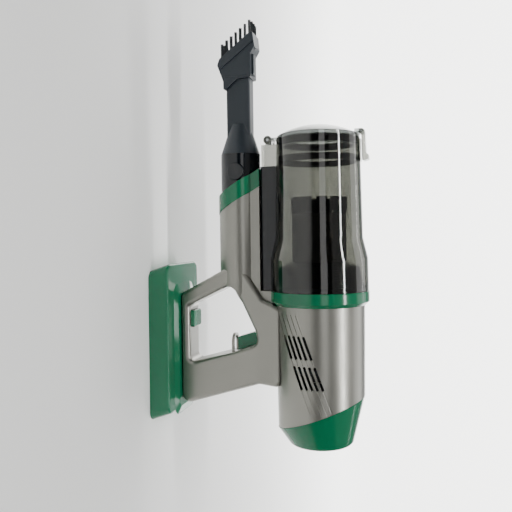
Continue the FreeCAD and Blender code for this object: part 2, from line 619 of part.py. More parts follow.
def lid_pieces():
    front = s.cup_front - s.fit
    rise = s.lid_dome_rise
    dome_radius = (s.lid_radius ** 2 + rise ** 2) / (2 * rise)

    def domed(radius, band_front, thickness):
        ball = Part.makeSphere(dome_radius - thickness,
                               Vector(band_front - rise + dome_radius, 0, s.cup_axis_z))
        bounds = rod(band_front - rise - 1, s.cup_axis_z, radius, rise + 1.001)
        return ball.common(bounds)

    band_front = front - s.lid_band
    outer = fused([
        rod(band_front, s.cup_axis_z, s.lid_radius, s.lid_band),
        rod(front - 2.6, s.cup_axis_z, s.lid_flange, 2.6 - s.fit),
        rod(front, s.cup_axis_z, s.lid_radius - 2.4, 9),
        domed(s.lid_radius, band_front, 0.0),
    ])
    bore = s.lid_radius - 2.4 - s.lid_wall
    hollow = fused([rod(band_front, s.cup_axis_z, bore, TALL / 8), domed(bore, band_front, s.lid_wall)])
    lid = outer.cut(hollow)
    knuckle = rod(s.hinge_x, s.hinge_z, s.hinge_radius, 9.4, -4.7, Y_AXIS)
    arm = block(front - 3.4, front - s.fit, -4.7, 4.7, s.hinge_z - 1, s.cup_axis_z - s.lid_radius + 3)
    arm = arm.cut(rod(-TALL, s.cup_axis_z, s.lid_radius - 1, TALL))
    ears = [block(s.latch_pin_x - 2.4, s.latch_pin_x + 2.4, y, y + 2.4, s.cup_axis_z + 40,
                  s.latch_pin_z + 2.4) for y in (s.latch_half + 0.3, -s.latch_half - 2.7)]
    ears = [ear.cut(rod(-TALL, s.cup_axis_z, s.lid_radius - 1, TALL)) for ear in ears]
    lid = fused([lid, knuckle, arm] + ears)
    lid = lid.cut(rod(s.hinge_x, s.hinge_z, s.hinge_pin_radius + s.pin_fit, TALL, -TALL / 2, Y_AXIS))
    lid = lid.cut(rod(s.latch_pin_x, s.latch_pin_z, s.latch_pin_radius + s.fit, TALL, -TALL / 2, Y_AXIS))
    feature("cup_lid", lid)
    ring("lid_seal", "cup_front + 0.6", "7", "lid_radius - gap", "lid_radius - 2.4 + fit")
    node("lid_hinge_pin", cylinder("lid_hinge_pin", ("hinge_x", "0 - hinge_half", "hinge_z"),
                                   "hinge_pin_radius", "2 * hinge_half", "y"))
    x, z = s.latch_pin_x, s.latch_pin_z
    latch = rounded_plate([outline([
        (x - 2.6, z - 2.2, 1), (x - 2.6, z + 4.6, 4), (x + 24, z + 5.4, 2),
        (x + 26.5, z + 8.4, 1.5), (x + 31, z + 8.4, 1.5), (x + 33, z + 1.3, 1.5),
        (x + 4, z + 0.6, 1), (x + 2.2, z - 2.2, 1),
    ])], s.latch_half, 0.5)
    latch = latch.cut(rod(x, z, s.latch_pin_radius + s.pin_fit, TALL, -TALL / 2, Y_AXIS))
    feature("lid_latch", latch)
    node("latch_pin", cylinder("latch_pin", ("latch_pin_x", "0 - latch_half - 2.7", "latch_pin_z"),
                               "latch_pin_radius", "2 * latch_half + 5.4", "y"))


# ------------------------------------------------------- filter and screen in the cup
def filter_pieces():
    crown = rod(s.crown_front, s.cup_axis_z, s.crown_radius, s.crown_length)
    crown = crown.cut(rod(s.crown_front + 7, s.cup_axis_z, s.screen_radius + s.fit, s.crown_length))
    crown = crown.cut(rod(s.crown_front - 1, s.cup_axis_z, s.crown_radius - 3.4, 6))
    for index in range(int(s.crown_teeth)):
        notch = block(s.crown_front - 1, s.crown_front + 4.5, -2.6, 2.6, s.cup_axis_z + 20, s.cup_axis_z + 40)
        notch.rotate(Vector(0, 0, s.cup_axis_z), X_AXIS, 360 * index / s.crown_teeth)
        crown = crown.cut(notch)
    feature("screen_crown", crown)
    ring("mesh_screen", "crown_front + 7 + fit", "screen_rear - crown_front - 7 - fit - fit",
         "screen_radius", "screen_radius - screen_wall")
    shroud = turned([
        (s.screen_rear, 0), (s.screen_rear, s.screen_radius + 1.4), (s.screen_rear + 5, s.plate_radius - 6),
        (s.plate_rear - 5, s.plate_radius), (s.plate_rear, s.plate_radius), (s.plate_rear, 0),
    ], s.cup_axis_z)
    wall = s.plate_wall
    hollow = turned([
        (s.screen_rear + wall, 0), (s.screen_rear + wall, s.screen_radius - 1),
        (s.screen_rear + 5 + wall, s.plate_radius - 6 - wall), (s.plate_rear - 3, s.plate_radius - wall),
        (s.plate_rear + 1, s.plate_radius - wall), (s.plate_rear + 1, 0),
    ], s.cup_axis_z)
    shroud = shroud.cut(hollow)
    shroud = shroud.cut(rod(s.screen_rear - 1, s.cup_axis_z, s.foam_radius + s.fit, 10))
    groove = turned([(s.plate_rear - 5.1, s.plate_radius - 1.2), (s.plate_rear - 5.1, TALL / 4),
                     (s.plate_rear - 2.1, TALL / 4), (s.plate_rear - 2.1, s.plate_radius - 1.2)],
                    s.cup_axis_z)
    feature("screen_base", shroud.cut(groove))
    ring("cup_seal", "plate_rear - 5", "2.8", "cup_rear_radius - cup_wall - 0.4 - gap",
         "plate_radius - 1.2 + 0.05")
    ring("foam_filter", "crown_front + 8", "plate_rear - crown_front - 8 - 0.5", "foam_radius", "foam_bore")


# ---------------------------------------------------------------- motor housing
def housing_form(inset, front, rear):
    length = s.seam_x - housing_front
    growth = (s.housing_rear_radius - s.housing_radius) / length
    return turned([
        (front, 0), (front, s.housing_radius + growth * (front - housing_front) - inset),
        (rear, s.housing_radius + growth * (rear - housing_front) - inset), (rear, 0),
    ], s.cup_axis_z)


def slot_bar(column, middle_x, length, width):
    """One slanted slot, right through the barrel along Y."""
    slope = math.radians(s.slot_slope)
    first = (s.slot_columns - 1) / 2
    centre_z = s.cup_axis_z - 16.5 + (column - first) * s.slot_pitch + middle_x * math.tan(slope)
    bar = block(-length / 2, length / 2, -TALL / 4, TALL / 4, -width / 2, width / 2)
    bar.rotate(Vector(), Y_AXIS, -s.slot_slope)
    bar.translate(Vector(middle_x, 0, centre_z))
    return bar


def housing_pieces():
    rear_side = slanted(-TALL, s.seam_x, s.seam_slope, s.cup_axis_z)
    far = s.cap_end + 10
    barrel = housing_form(0.0, housing_front, far).common(rear_side)
    barrel = barrel.cut(housing_form(s.housing_wall, housing_front - 1, far + 1))
    skin = housing_form(-1.0, housing_front - 1, far + 1).cut(
        housing_form(s.groove_depth, housing_front - 2, far + 2))
    columns = range(int(s.slot_columns))
    grooves = fused([slot_bar(column, 14.5, s.groove_length, s.groove_width) for column in columns])
    flanks = block(-TALL, TALL, -TALL / 4, -20, 0, TALL).fuse(block(-TALL, TALL, 20, TALL / 4, 0, TALL))
    barrel = barrel.cut(grooves.common(skin).common(flanks))
    for row in (-0.5, 0.5):
        for column in columns:
            slot = slot_bar(column, 13 + row * s.slot_row_pitch, s.slot_length, s.slot_width)
            barrel = barrel.cut(slot.common(flanks))
    feature("motor_housing", barrel)
    trim = turned([
        (s.trim_front, s.trim_bore), (s.trim_front, s.trim_radius - 0.6),
        (s.trim_front + 0.6, s.trim_radius), (s.trim_rear - 4, s.trim_radius),
        (s.trim_rear - 0.4, s.housing_radius + 1.6), (s.trim_rear, s.housing_radius + 1.2),
        (s.trim_rear, s.trim_bore),
    ], s.cup_axis_z)
    feature("cup_trim_ring", trim)
    cap_pieces(rear_side)


def cap_pieces(rear_side):
    lean = math.radians(s.seam_slope)

    def cap_loft(inset, seam_x, end_x):
        """Cone from the slanted seam's ellipse to the round end."""
        radius = s.housing_rear_radius - inset
        normal = Vector(math.cos(lean), 0, math.sin(lean))
        centre = Vector(seam_x, 0, s.cup_axis_z)
        along = Vector(math.sin(lean), 0, -math.cos(lean))
        major = centre + along * (radius / math.cos(lean))
        ellipse = Part.Ellipse(major, centre + Y_AXIS * radius, centre)
        end = Part.Circle(Vector(end_x, 0, s.cup_axis_z), X_AXIS, s.cap_end_radius - inset)
        wires = [Part.Wire(ellipse.toShape()), Part.Wire(end.toShape())]
        return Part.makeLoft(wires, True, True)

    cap = cap_loft(0.0, s.seam_x + s.gap, s.cap_end)
    rims = [edge for edge in cap.Edges if edge.BoundBox.XMin > s.cap_end - 1e-3]
    cap = cap.makeFillet(s.cap_round, rims)
    collar_radius = s.housing_rear_radius - s.housing_wall - 2 * s.gap
    collar = rod(s.seam_x - 40, s.cup_axis_z, collar_radius, TALL / 4).common(
        slanted(s.seam_x - s.cap_spigot, s.seam_x + 1.5, s.seam_slope, s.cup_axis_z))
    throat = rod(s.seam_x - 41, s.cup_axis_z, collar_radius - 1.8, TALL / 4).common(
        slanted(s.seam_x - s.cap_spigot - 1, s.seam_x + 2.5, s.seam_slope, s.cup_axis_z))
    hollow = cap_loft(s.cap_wall, s.seam_x + 1.8, s.cap_end - s.cap_wall)
    cap = cap.fuse(collar).cut(throat).cut(hollow).removeSplitter()
    for index in range(8):
        vent = rod(s.cap_end - 12, s.cup_axis_z + 19, 2.2, 30)
        vent.rotate(Vector(0, 0, s.cup_axis_z), X_AXIS, 45 * index)
        cap = cap.cut(vent)
    feature("exhaust_cap", cap)
    ring("exhaust_filter", "seam_x - 30", "44", "28", "16")
    ring("filter_frame", "seam_x - 33.2", "3.2 - fit", "housing_rear_radius - housing_wall - fit", "15")


def motor_pieces():
    ring("motor_bulkhead", "trim_front + 0.5", "3", "trim_bore - fit", "20")
    ring("front_mount", "impeller_front + 3", "6", "housing_radius - housing_wall - gap",
         "impeller_radius + 3.4 + fit")
    ring("rear_mount", "motor_rear - 16", "6", "housing_radius - housing_wall - 1.2", "motor_radius + fit")
    shroud = turned([
        (s.impeller_front - 3, 14), (s.impeller_front - 3, 22), (s.impeller_front + 3,
        s.impeller_radius + 3.4),
        (s.impeller_front + s.impeller_depth + 3, s.impeller_radius + 3.4),
        (s.impeller_front + s.impeller_depth + 3, s.impeller_radius + 1.6),
        (s.impeller_front + 4, s.impeller_radius + 1.6), (s.impeller_front - 1, 20),
        (s.impeller_front - 1, 14),
    ], s.cup_axis_z)
    feature("impeller_shroud", shroud)
    can = rod(s.motor_front, s.cup_axis_z, s.motor_radius, s.motor_rear - s.motor_front)
    can = can.cut(rod(s.motor_front + 1.2, s.cup_axis_z, s.motor_radius - s.motor_wall,
                      s.motor_rear - s.motor_front - 2.4))
    can = can.cut(rod(s.motor_front - 1, s.cup_axis_z, 7.6, TALL / 2))
    for index in range(6):
        vent = rod(s.motor_front - 1, s.cup_axis_z + 18, 5, TALL / 4)
        vent.rotate(Vector(0, 0, s.cup_axis_z), X_AXIS, 60 * index)
        can = can.cut(vent)
    feature("motor_can", can)
    bearings = [rod(x, s.cup_axis_z, 7.5, 5).cut(rod(x - 1, s.cup_axis_z, s.shaft_radius + s.pin_fit, 8))
                for x in (s.motor_front - 1.5, s.motor_rear - 3.5)]
    feature("motor_bearings", Part.makeCompound(bearings))
    ring("stator_core", "motor_front + 16", "30", "motor_radius - motor_wall - fit", "16")
    windings = []
    for index in range(6):
        winding = block(s.motor_front + 9, s.motor_front + 53, -4.5, 4.5, s.cup_axis_z + 19,
                        s.cup_axis_z + 26)
        winding = winding.cut(block(s.motor_front + 15.9, s.motor_front + 46.1, -9, 9,
                                    s.cup_axis_z, s.cup_axis_z + 40))
        winding.rotate(Vector(0, 0, s.cup_axis_z), X_AXIS, 60 * index + 30)
        windings.extend(winding.Solids)
    feature("stator_windings", Part.makeCompound(windings))
    ring("rotor_magnet", "motor_front + 16", "30", "15", "shaft_radius")
    node("motor_shaft", cylinder("motor_shaft", ("impeller_front + 1", "0", "cup_axis_z"), "shaft_radius",
                                 "motor_rear - impeller_front + 1"))
    hub = turned([
        (s.impeller_front + 1.5, s.shaft_radius), (s.impeller_front + 1.5, 6), (s.impeller_front + 6, 12),
        (s.impeller_front + s.impeller_depth - 2, s.impeller_radius),
        (s.impeller_front + s.impeller_depth, s.impeller_radius),
        (s.impeller_front + s.impeller_depth, s.shaft_radius),
    ], s.cup_axis_z)
    vane_zone = turned([
        (s.impeller_front + 1.5, 5.5), (s.impeller_front, 17), (s.impeller_front + 5.2, s.impeller_radius),
        (s.impeller_front + s.impeller_depth, s.impeller_radius), (s.impeller_front + s.impeller_depth, 5.5),
    ], s.cup_axis_z)
    vanes = []
    for index in range(int(s.blade_count)):
        vane = block(s.impeller_front - 1, s.impeller_front + s.impeller_depth, -0.6, 0.6,
                     s.cup_axis_z + 4, s.cup_axis_z + 60)
        vane.rotate(Vector(0, 0, s.cup_axis_z + 4), X_AXIS, 28)
        vane.rotate(Vector(0, 0, s.cup_axis_z), X_AXIS, 360 * index / s.blade_count)
        vanes.append(vane.common(vane_zone))
    feature("impeller", fused([hub] + vanes))


# -------------------------------------------------------------- crevice tool and brush
def blade_form(inset, extra, tip, rear):
    """Rectangular blade with a slanted tip, longest on its upper side."""
    bar = rounded_bar(tip, rear, s.blade_width / 2 - inset + extra, s.blade_height / 2 - inset + extra,
                      s.neck_axis_z, 2.2)
    upper = s.neck_axis_z + s.blade_height / 2
    return bar.cut(slanted(-2 * TALL, tip, s.blade_slope, upper))


def tool_pieces():
    joint_face = s.neck_front - s.fit
    length = joint_face - s.cone_end
    collar = Part.makeCone(s.socket_radius, s.cone_end_radius, length,
                           Vector(joint_face, 0, s.neck_axis_z), Vector(-1, 0, 0))
    spigot_radius = s.neck_radius - s.neck_wall - s.gap
    spigot = rod(joint_face - 0.01, s.neck_axis_z, spigot_radius, s.spigot_length)
    tool = fused([collar, spigot, blade_form(0.0, 0.0, s.blade_tip, joint_face)])
    wall = s.blade_wall
    funnel = Part.makeCone(spigot_radius - wall, s.cone_end_radius - wall - 4, length + 4,
                           Vector(joint_face + 3, 0, s.neck_axis_z), Vector(-1, 0, 0))
    tool = tool.cut(fused([
        rod(joint_face + 2.9, s.neck_axis_z, spigot_radius - wall, s.spigot_length),
        funnel, blade_form(wall, 0.0, s.blade_tip - 5, joint_face + 1)]))
    rest = block(s.neck_button_x - 11, s.neck_button_x + 11, -spigot_radius - 1, 2.6 - spigot_radius + 1,
                 s.neck_axis_z - 9.9, s.neck_axis_z + 9.9)
    feature("crevice_tool", tool.cut(rest.common(rod(-TALL, s.neck_axis_z, spigot_radius + 1, TALL))))


HEAD_OUTLINE = [
    (-289, 80.6, 2), (-303, 97, 3), (-304.5, 113.4, 1.5), (-331, 113.4, 2), (-339, 118.2, 4),
    (-357.5, 116.2, 2), (-327, 76.4, 2), (-320, 73.8, 3), (-307, 78.4, 3), (-301, 80.6, 3),
]
HEAD_TOP = ((-327, 76.4), (-357.5, 116.2))


def head_pieces():
    (low_x, low_z), (high_x, high_z) = HEAD_TOP
    whole = rounded_plate([outline(HEAD_OUTLINE)], s.head_half_width, 1.2)
    narrow = block(-306, -280, -40, -s.sleeve_half_width, 60, 130).fuse(
        block(-306, -280, s.sleeve_half_width, 40, 60, 130))
    step_x = low_x + s.head_band
    lean = (low_x - high_x) / (high_z - low_z)
    behind = polygon_plate([(step_x + lean * 20, low_z - 20), (step_x + 70, low_z - 20),
                            (step_x + 70, high_z + 20),
                            (step_x - lean * (high_z + 20 - low_z), high_z + 20)], TALL)
    inner = s.head_half_width - s.head_step
    for y0, y1 in ((-TALL, -inner), (inner, TALL)):
        whole = whole.cut(behind.common(block(-TALL, 0, y0, y1, 0, TALL)))
    bore = rounded_bar(-400, -280, s.blade_width / 2 + s.gap, s.blade_height / 2 + s.gap, s.neck_axis_z, 2)
    pocket = block(-332, -308, -6, 6, 112, 120)
    head = whole.cut(narrow).cut(bore).cut(pocket)
    slope = math.atan2(low_x - high_x, high_z - low_z)
    count = int(s.tufts_per_side)
    tufts, sockets = [], []

    def add_tuft(z, y):
        x = low_x + (z - low_z) / (high_z - low_z) * (high_x - low_x)
        tufts.append(rod(x - s.tuft_length, z, s.tuft_radius, s.tuft_length + s.tuft_root, y))
        sockets.append(rod(x - s.tuft_length, z, s.tuft_radius + 0.05, s.tuft_length + s.tuft_root, y))

    side_y = (s.blade_width / 2 + s.gap + s.head_half_width) / 2
    span = (high_z - low_z) - 7
    for index in range(count):
        z = low_z + 3.5 + span * index / (count - 1)
        for y in (-side_y, side_y):
            add_tuft(z, y)
    clear_z = s.blade_height / 2 + s.gap + s.tuft_radius + 0.1
    for y in (-s.tuft_end_pitch / 2, s.tuft_end_pitch / 2):
        add_tuft(s.neck_axis_z - clear_z, y)
        add_tuft(s.neck_axis_z + clear_z, y)
    feature("brush_head", max(head.cut(Part.makeCompound(sockets)).Solids, key=lambda solid: solid.Volume))
    feature("bristle_tufts", Part.makeCompound(tufts))
    tab = block(-331.7, -308.3, -5.7, 5.7, 113.1, 115.4)
    edges = [edge for edge in tab.Edges if edge.BoundBox.ZMin > 115]
    feature("brush_lock_tab", tab.makeFillet(0.8, edges))


# --------------------------------------------------------------------------- build
battery_pieces()
body_pieces()
control_pieces()
nozzle_pieces()
cup_pieces()
lid_pieces()
filter_pieces()
housing_pieces()
motor_pieces()
tool_pieces()
head_pieces()
doc.recompute()

for obj in doc.Objects:
    faults = [word for word in obj.State if word in ("Invalid", "Error")]
    if faults:
        raise RuntimeError("%s is %s" % (obj.Label, faults))
os.makedirs("parts", exist_ok=True)
for label, obj in NODES.items():
    shape = obj.Shape
    if shape.isNull() or not shape.isValid() or not shape.Solids:
        raise RuntimeError("%s has no valid solid" % label)
    shape.exportStep("parts/%s.step" % label)
print("%d nodes" % len(NODES))
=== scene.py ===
import json
import math

import bmesh
import bpy
from mathutils import Matrix, Vector


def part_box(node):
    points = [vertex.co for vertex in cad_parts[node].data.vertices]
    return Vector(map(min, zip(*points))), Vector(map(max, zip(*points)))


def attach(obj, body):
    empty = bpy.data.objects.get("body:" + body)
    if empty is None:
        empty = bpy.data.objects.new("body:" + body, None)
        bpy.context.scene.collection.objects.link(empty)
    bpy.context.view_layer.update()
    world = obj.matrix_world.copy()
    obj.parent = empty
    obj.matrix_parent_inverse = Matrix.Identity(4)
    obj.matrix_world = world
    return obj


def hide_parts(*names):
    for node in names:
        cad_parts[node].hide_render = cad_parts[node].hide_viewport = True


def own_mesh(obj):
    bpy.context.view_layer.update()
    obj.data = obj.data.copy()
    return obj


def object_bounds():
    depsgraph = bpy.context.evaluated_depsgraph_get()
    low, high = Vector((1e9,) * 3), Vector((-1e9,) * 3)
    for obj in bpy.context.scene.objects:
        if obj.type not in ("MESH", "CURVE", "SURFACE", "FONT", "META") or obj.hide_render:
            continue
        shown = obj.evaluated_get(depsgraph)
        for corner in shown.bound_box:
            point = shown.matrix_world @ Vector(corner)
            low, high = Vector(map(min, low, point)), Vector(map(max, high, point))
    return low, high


# Looks of a hand-held cordless stick vacuum that stands on its battery pack.
# Everything is in metres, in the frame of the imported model: +Z up, nozzle along -X.

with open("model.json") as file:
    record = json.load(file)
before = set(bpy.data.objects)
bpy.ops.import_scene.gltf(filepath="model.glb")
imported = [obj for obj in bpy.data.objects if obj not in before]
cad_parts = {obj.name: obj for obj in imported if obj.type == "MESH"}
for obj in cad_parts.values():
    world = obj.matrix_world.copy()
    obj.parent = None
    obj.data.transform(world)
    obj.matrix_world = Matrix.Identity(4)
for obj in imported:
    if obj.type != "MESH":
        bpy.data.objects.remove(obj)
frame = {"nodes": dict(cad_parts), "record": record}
cad_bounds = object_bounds()
nodes = frame["nodes"]
MM = 0.001


# ------------------------------------------------------------------ small helpers
def linear(hex_code):
    """sRGB hex colour as linear red, green, blue and alpha."""
    channels = [int(hex_code[i:i + 2], 16) / 255 for i in (1, 3, 5)]
    rgb = [c / 12.92 if c <= 0.04045 else ((c + 0.055) / 1.055) ** 2.4 for c in channels]
    return (*rgb, 1.0)


def per_mm(size):
    """Texture scale whose cells are this many millimetres across."""
    return 1 / (size * MM)


def add(tree, kind, inputs=(), **settings):
    """Adds a node with its settings; an input is a value or another node's output."""
    new = tree.nodes.new(kind)
    for key, value in settings.items():
        setattr(new, key, value)
    for key, value in dict(inputs).items():
        socket = new.inputs[key]
        if isinstance(value, bpy.types.NodeSocket):
            tree.links.new(value, socket)
        else:
            socket.default_value = value
    return new


# ---------------------------------------------------------------------- materials
EDGE = 0.35          # rounding of a moulded edge, mm
DRIFT_PATCH = 45     # width of the slow changes of tone and gloss, mm
MOULD_WAVE = 18      # width of the waves in a polished moulding, mm


def finish(name, colour, roughness, grain=0.4, depth=0.01, drift=0.05, spread=0.04,
           wear_and_highlight=0.0, bevel=EDGE, **shader):
    """Opaque surface: grain in its relief (mm), slow drift of tone and gloss, and edges lightened in
    colour, part wear and part painted edge highlight.
    """
    material = bpy.data.materials.new(name)
    material.use_nodes = True
    tree = material.node_tree
    tree.nodes.clear()
    place = add(tree, "ShaderNodeTexCoord").outputs["Object"]
    slow = add(tree, "ShaderNodeTexNoise",
               {"Vector": place, "Scale": per_mm(DRIFT_PATCH), "Detail": 3.0})
    fine = add(tree, "ShaderNodeTexNoise", {"Vector": place, "Scale": per_mm(grain), "Detail": 2.0})
    rounded = add(tree, "ShaderNodeBevel", {"Radius": bevel * MM}, samples=4)
    true_face = add(tree, "ShaderNodeNewGeometry")
    turned = add(tree, "ShaderNodeVectorMath",
                 {0: rounded.outputs["Normal"], 1: true_face.outputs["Normal"]},
                 operation="DOT_PRODUCT")
    # Mask of the rounded convex edges, which get the lighter edge colour: part wear, part painted
    # edge highlight.
    edge = add(tree, "ShaderNodeMapRange", {"Value": turned.outputs["Value"], "From Min": 0.995,
                                            "From Max": 0.86, "To Min": 0.0, "To Max": wear_and_highlight})
    base = linear(colour)
    dark = tuple(c * (1 - drift) for c in base[:3]) + (1.0,)
    light = tuple(min(1.0, c * (1 + drift)) for c in base[:3]) + (1.0,)
    tone = add(tree, "ShaderNodeMix", {0: slow.outputs["Fac"], 6: dark, 7: light}, data_type="RGBA")
    # Edge colour lighter than the base: part rubbed wear, part painted edge highlight.
    worn_and_lit_edge = tuple(min(1.0, c * 1.5 + 0.04) for c in base[:3]) + (1.0,)
    shade = add(tree, "ShaderNodeMix", {0: edge.outputs["Result"], 6: tone.outputs[2], 7: worn_and_lit_edge},
                data_type="RGBA")
    gloss = add(tree, "ShaderNodeMapRange", {"Value": slow.outputs["Fac"], "From Min": 0.3,
                                             "From Max": 0.7, "To Min": roughness - spread,
                                             "To Max": roughness + spread})
    relief = add(tree, "ShaderNodeBump", {"Height": fine.outputs["Fac"], "Distance": depth * MM,
                                          "Strength": 1.0, "Normal": rounded.outputs["Normal"]})
    surface = add(tree, "ShaderNodeBsdfPrincipled",
                  {"Base Color": shade.outputs[2], "Roughness": gloss.outputs["Result"],
                   "Normal": relief.outputs["Normal"], **shader})
    add(tree, "ShaderNodeOutputMaterial", {"Surface": surface.outputs["BSDF"]})
    return material


def clear_plastic(name, colour, roughness, waviness, index=1.58):
    """Polished moulded polycarbonate: tinted by its wall, with the mould's slow waves."""
    material = bpy.data.materials.new(name)
    material.use_nodes = True
    tree = material.node_tree
    tree.nodes.clear()
    place = add(tree, "ShaderNodeTexCoord").outputs["Object"]
    stretched = add(tree, "ShaderNodeMapping", {"Vector": place, "Scale": (0.3, 1.0, 1.0)})
    waves = add(tree, "ShaderNodeTexNoise", {"Vector": stretched.outputs["Vector"],
                                             "Scale": per_mm(MOULD_WAVE), "Detail": 1.0})
    haze = add(tree, "ShaderNodeMapRange", {"Value": waves.outputs["Fac"], "From Min": 0.3,
                                            "From Max": 0.7, "To Min": roughness,
                                            "To Max": roughness + 0.03})
    relief = add(tree, "ShaderNodeBump", {"Height": waves.outputs["Fac"],
                                          "Distance": waviness * MM, "Strength": 1.0})
    surface = add(tree, "ShaderNodeBsdfPrincipled",
                  {"Base Color": linear(colour), "Roughness": haze.outputs["Result"], "IOR": index,
                   "Transmission Weight": 1.0, "Normal": relief.outputs["Normal"]})
    add(tree, "ShaderNodeOutputMaterial", {"Surface": surface.outputs["BSDF"]})
    return material


# Sprayed metallic lacquer on ABS: aluminium flake under a satin clear coat, so the
# highlights are broad and warm grey, with a fine sparkle.
flake_paint = finish("flake_paint_on_abs", "#94938c", 0.32, grain=0.25, depth=0.006, drift=0.03,
                     spread=0.03, wear_and_highlight=0.25, Metallic=0.85, **{"Coat Weight": 0.25,
                                                               "Coat Roughness": 0.22})
# Gloss moulded ABS in green: a sharp mirror of the lights over a saturated body colour.
green_abs = finish("green_gloss_abs", "#006a46", 0.16, grain=9.0, depth=0.02, drift=0.04,
                   spread=0.03, wear_and_highlight=0.15, bevel=0.6, IOR=1.53)
# Tinted polycarbonate: grey where the walls add up, with hard reflections.
smoked_polycarbonate = clear_plastic("smoked_polycarbonate", "#7f807a", 0.02, 0.05)
lid_polycarbonate = clear_plastic("lid_polycarbonate", "#969a98", 0.03, 0.04)
# Gloss black ABS: nearly all of what it shows is reflection.
black_gloss_abs = finish("black_gloss_abs", "#0b1016", 0.11, grain=12.0, depth=0.02, spread=0.03,
                         wear_and_highlight=0.1, IOR=1.53)
# Spark-textured ABS in blue-black: an even matt grain that catches light at grazing angles.
textured_abs = finish("spark_textured_abs", "#1d262e", 0.44, grain=0.7, depth=0.03, drift=0.08,
                      spread=0.05, wear_and_highlight=0.45, IOR=1.53)
# Inner structural ABS, as moulded: darker and duller, faint flow marks.
inner_abs = finish("inner_moulded_abs", "#15181b", 0.5, grain=1.2, depth=0.02, drift=0.1, IOR=1.53)
# Moulded silicone and nitrile rubber: dull, soft edged, slightly dusty.
seal_rubber = finish("seal_rubber", "#182026", 0.6, grain=0.9, depth=0.02, drift=0.15, spread=0.08,
                     wear_and_highlight=0.2, IOR=1.5)
# Nylon filament: dark, with a silky line of light along each fibre.
nylon_fibre = finish("nylon_fibre", "#161c21", 0.34, grain=0.5, depth=0.01, drift=0.2, bevel=0.02,
                     IOR=1.53)
# Bright zinc-plated steel of screws and pins.
plated_steel = finish("zinc_plated_steel", "#b9bbbd", 0.28, grain=0.3, depth=0.01, wear_and_highlight=0.3,
                      Metallic=1.0)
# Etched stainless screen, darkened by heat: brown-grey metal.
etched_screen = finish("etched_stainless_screen", "#6a635c", 0.4, grain=0.5, depth=0.01,
                       drift=0.12, bevel=0.05, Metallic=0.9)
# Open-cell polyurethane foam: deep soft pits.
cell_foam = finish("open_cell_foam", "#2b2c2e", 0.95, grain=1.6, depth=0.6, drift=0.2, bevel=0.8)
# Resin-bonded filter paper: warm white, fibrous.
filter_paper = finish("pleated_filter_paper", "#d9d5c8", 0.85, grain=0.6, depth=0.05, drift=0.08)
# Enamelled copper wire.
copper_wire = finish("enamelled_copper", "#a3532b", 0.3, grain=0.8, depth=0.12, drift=0.12,
                     Metallic=1.0)
# Glass-epoxy board under green solder resist.
solder_resist = finish("solder_resist_board", "#0d4a2b", 0.35, grain=2.0, depth=0.03, drift=0.1)
# Shrink-wrapped steel cells.
cell_wrap = finish("cell_shrink_wrap", "#2b5f93", 0.3, grain=6.0, depth=0.03, drift=0.06)
# Machined aluminium of the fan wheel: turning marks.
machined_aluminium = finish("machined_aluminium", "#c4c6c8", 0.3, grain=0.4, depth=0.015,
                            Metallic=1.0)

MATERIALS_BY_SLOT = {
    "silver_paint": flake_paint, "green_gloss": green_abs, "smoked_clear": smoked_polycarbonate,
    "clear_lid": lid_polycarbonate, "black_gloss": black_gloss_abs, "dark_matte": textured_abs,
    "black_rubber": seal_rubber, "bristle": nylon_fibre, "steel": plated_steel,
    "dark_mesh": etched_screen, "foam": cell_foam, "filter_paper": filter_paper,
    "copper": copper_wire, "board_green": solder_resist, "cell_wrap": cell_wrap,
    "black_inner": inner_abs, "aluminium": machined_aluminium,
}
for subpart in frame["record"]["subparts"]:
    for material_slot in nodes[subpart["node"]].material_slots:
        material_slot.material = MATERIALS_BY_SLOT[subpart["material_slot"]]


# ------------------------------------------------------------------ piece helpers
def piece(name, mesh, slot, body, *stands_for):
    """Puts a finished mesh, already in place, into the scene as a piece of the object."""
    obj = bpy.data.objects.new(name, mesh)
    bpy.context.scene.collection.objects.link(obj)
    mesh.materials.clear()
    mesh.materials.append(MATERIALS_BY_SLOT[slot])
    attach(obj, body)
    if stands_for:
        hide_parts(*stands_for)
    return obj


def islands(node_name):
    """Boxes (low, high) of a CAD node's separate solids."""
    mesh = bmesh.new()
    mesh.from_mesh(nodes[node_name].data)
    bmesh.ops.remove_doubles(mesh, verts=mesh.verts, dist=1e-6)
    boxes, seen = [], set()
    for start in mesh.verts:
        if start in seen:
            continue
        group, todo = [], [start]
        seen.add(start)
        while todo:
            vert = todo.pop()
            group.append(vert.co.copy())
            for linked in vert.link_edges:
                other = linked.other_vert(vert)
                if other not in seen:
                    seen.add(other)
                    todo.append(other)
        low = Vector([min(co[i] for co in group) for i in range(3)])
        high = Vector([max(co[i] for co in group) for i in range(3)])
        boxes.append((low, high))
    mesh.free()
    return boxes


def point_mesh(name, places):
    """Mesh of loose points, for a tree to grow on."""
    mesh = bpy.data.meshes.new(name)
    mesh.from_pydata([tuple(p) for p in places], [], [])
    return mesh


def sized_tree(name, sizes):
    """Geometry node tree with a geometry in and out and named inputs for its sizes."""
    tree = bpy.data.node_groups.new(name, "GeometryNodeTree")
    tree.interface.new_socket("Geometry", in_out="INPUT", socket_type="NodeSocketGeometry")
    for label, kind in sizes:
        tree.interface.new_socket(label, in_out="INPUT", socket_type="NodeSocket" + kind)
    tree.interface.new_socket("Geometry", in_out="OUTPUT", socket_type="NodeSocketGeometry")
    return tree, add(tree, "NodeGroupInput").outputs


def close_tree(tree, geometry, material):
    """Ends a tree: real geometry with its material."""
    real = add(tree, "GeometryNodeRealizeInstances", {"Geometry": geometry})
    painted = add(tree, "GeometryNodeSetMaterial", {"Geometry": real.outputs[0],
                                                    "Material": material})
    add(tree, "NodeGroupOutput", {"Geometry": painted.outputs[0]})


